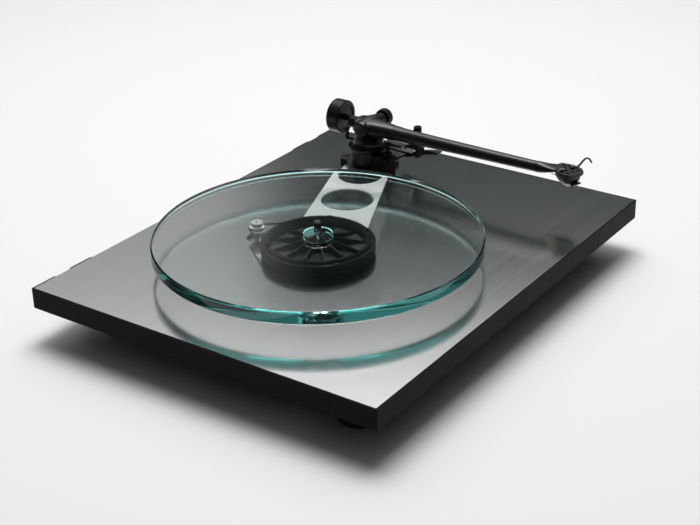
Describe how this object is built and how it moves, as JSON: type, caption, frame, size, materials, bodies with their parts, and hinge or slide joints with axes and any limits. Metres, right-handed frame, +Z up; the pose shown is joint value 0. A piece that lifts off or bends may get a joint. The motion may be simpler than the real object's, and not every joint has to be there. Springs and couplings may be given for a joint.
{
  "type": "turntable record player",
  "caption": "Belt-drive turntable: thin metal-topped plinth, clear glass platter on a ribbed subplatter, and a black one-piece tonearm with counterweight",
  "frame": {"origin": "on the floor, under the centre of the plinth", "axes": "+X to the right and +Y to the rear as seen from the front, +Z up"},
  "size_m": [0.447, 0.356, 0.1173],
  "materials": {
    "frame_black": "satin black phenolic edge strip",
    "core_board": "lightweight core board, sealed",
    "skin_black": "black laminate",
    "brushed_plate": "finely brushed, clear anodised, grain along the width",
    "bright_brace": "satin brushed bright metal",
    "foot_shell": "black moulded plastic",
    "foot_rubber": "soft black rubber",
    "steel_screws": "plated steel",
    "circuit_board": "green solder mask",
    "polished_metal": "polished, machined",
    "bearing_brass": "turned brass",
    "spindle_steel": "dark ground steel",
    "moulded_black": "glass-filled moulding, satin",
    "platter_glass": "clear float glass with teal edge",
    "switch_black": "black",
    "rocker_white": "off-white",
    "arm_black": "fine satin black powder coat",
    "weight_black": "satin black, turned",
    "dial_black": "black moulding",
    "bias_grey": "satin grey",
    "lever_dark": "dark grey moulding",
    "slider_white": "off-white",
    "dark_steel": "blackened steel",
    "bright_steel": "bright steel",
    "cartridge_black": "black moulding",
    "pin_gold": "gold plated",
    "lead_grey": "thin insulated wire",
    "cantilever": "drawn tube with a diamond tip"
  },
  "bodies": {
    "root": {"edge_frame": "frame_black", "plinth_core": "core_board", "bottom_skin": "skin_black", "top_plate": "brushed_plate", "top_brace": "bright_brace", "bottom_brace": "skin_black", "foot_front_left": "foot_shell", "foot_front_right": "foot_shell", "foot_rear": "foot_shell", "foot_pad_front_left": "foot_rubber", "foot_pad_front_right": "foot_rubber", "foot_pad_rear": "foot_rubber", "foot_screws": "steel_screws", "motor_can": "steel_screws", "motor_cover": "foot_shell", "motor_board": "circuit_board", "drive_belt": "foot_rubber", "bearing_housing": "bearing_brass", "bearing_nut": "bearing_brass", "bearing_ball": "polished_metal", "switch_housing": "switch_black", "power_inlet": "switch_black", "cable_gland": "switch_black", "arm_flange": "arm_black", "flange_screws": "dark_steel", "arm_nut": "steel_screws", "arm_post": "arm_black", "post_ring": "arm_black", "lift_housing": "dial_black", "bias_housing": "bias_grey", "arm_rest": "dial_black", "arm_clip": "dial_black"},
    "rotor": {"spindle": "spindle_steel", "subplatter": "moulded_black", "platter_pads": "moulded_black", "platter": "platter_glass"},
    "pulley": {"motor_shaft": "polished_metal", "motor_pulley": "polished_metal"},
    "arm_swing": {"arm_carrier": "arm_black", "cross_pin": "bright_steel", "rear_bracket": "arm_black"},
    "arm_tilt": {"arm_tube": "arm_black", "weight_stub": "arm_black", "finger_lift": "dark_steel", "cartridge_body": "cartridge_black", "cartridge_screws": "bright_steel", "cartridge_pins": "pin_gold", "cartridge_leads": "lead_grey", "stylus_holder": "cartridge_black", "stylus": "cantilever"},
    "weight": {"counterweight": "weight_black"},
    "dial": {"tracking_dial": "dial_black"},
    "slider": {"bias_slider": "slider_white"},
    "lever": {"cue_lever": "lever_dark"},
    "lift": {"lift_platform": "dial_black"},
    "rocker": {"power_rocker": "rocker_white"}
  },
  "joints": [
    {"name": "platter_spin", "type": "hinge", "parent": "root", "child": "rotor", "pos_m": [-0.049, 0, 0.079], "axis": [0, 0, 1], "continuous": true},
    {"name": "pulley_spin", "type": "hinge", "parent": "root", "child": "pulley", "pos_m": [-0.0516, 0.0658, 0.06], "axis": [0, 0, 1], "continuous": true},
    {"name": "arm_turn", "type": "hinge", "parent": "root", "child": "arm_swing", "pos_m": [0.151, 0.082, 0.075], "axis": [0, 0, -1], "range_deg": [0, 56]},
    {"name": "arm_raise", "type": "hinge", "parent": "arm_swing", "child": "arm_tilt", "pos_m": [0.151, 0.082, 0.0965], "axis": [-1, 0, 0], "range_deg": [0, 12]},
    {"name": "weight_slide", "type": "slide", "parent": "arm_tilt", "child": "weight", "axis": [0, 1, 0], "range_m": [-0.003, 0.005]},
    {"name": "dial_turn", "type": "hinge", "parent": "arm_tilt", "child": "dial", "pos_m": [0.18, 0.082, 0.0965], "axis": [1, 0, 0], "range_deg": [0, 270]},
    {"name": "bias_slide", "type": "slide", "parent": "root", "child": "slider", "axis": [0, 1, 0], "range_m": [0, 0.014]},
    {"name": "cue_turn", "type": "hinge", "parent": "root", "child": "lever", "pos_m": [0.151, 0.051, 0.066], "axis": [1, 0, 0], "range_deg": [0, 30]},
    {"name": "lift_slide", "type": "slide", "parent": "root", "child": "lift", "axis": [0, 0, 1], "range_m": [-0.0046, 0]},
    {"name": "power_rock", "type": "hinge", "parent": "root", "child": "rocker", "pos_m": [-0.204, -0.088, 0.0335], "axis": [0, -1, 0], "range_deg": [0, 10]}
  ],
  "couplings": [
    {"joint": "pulley_spin", "follows": "platter_spin", "ratio": 7.0142},
    {"joint": "lift_slide", "follows": "cue_turn", "m_per_rad": -0.008594}
  ]
}
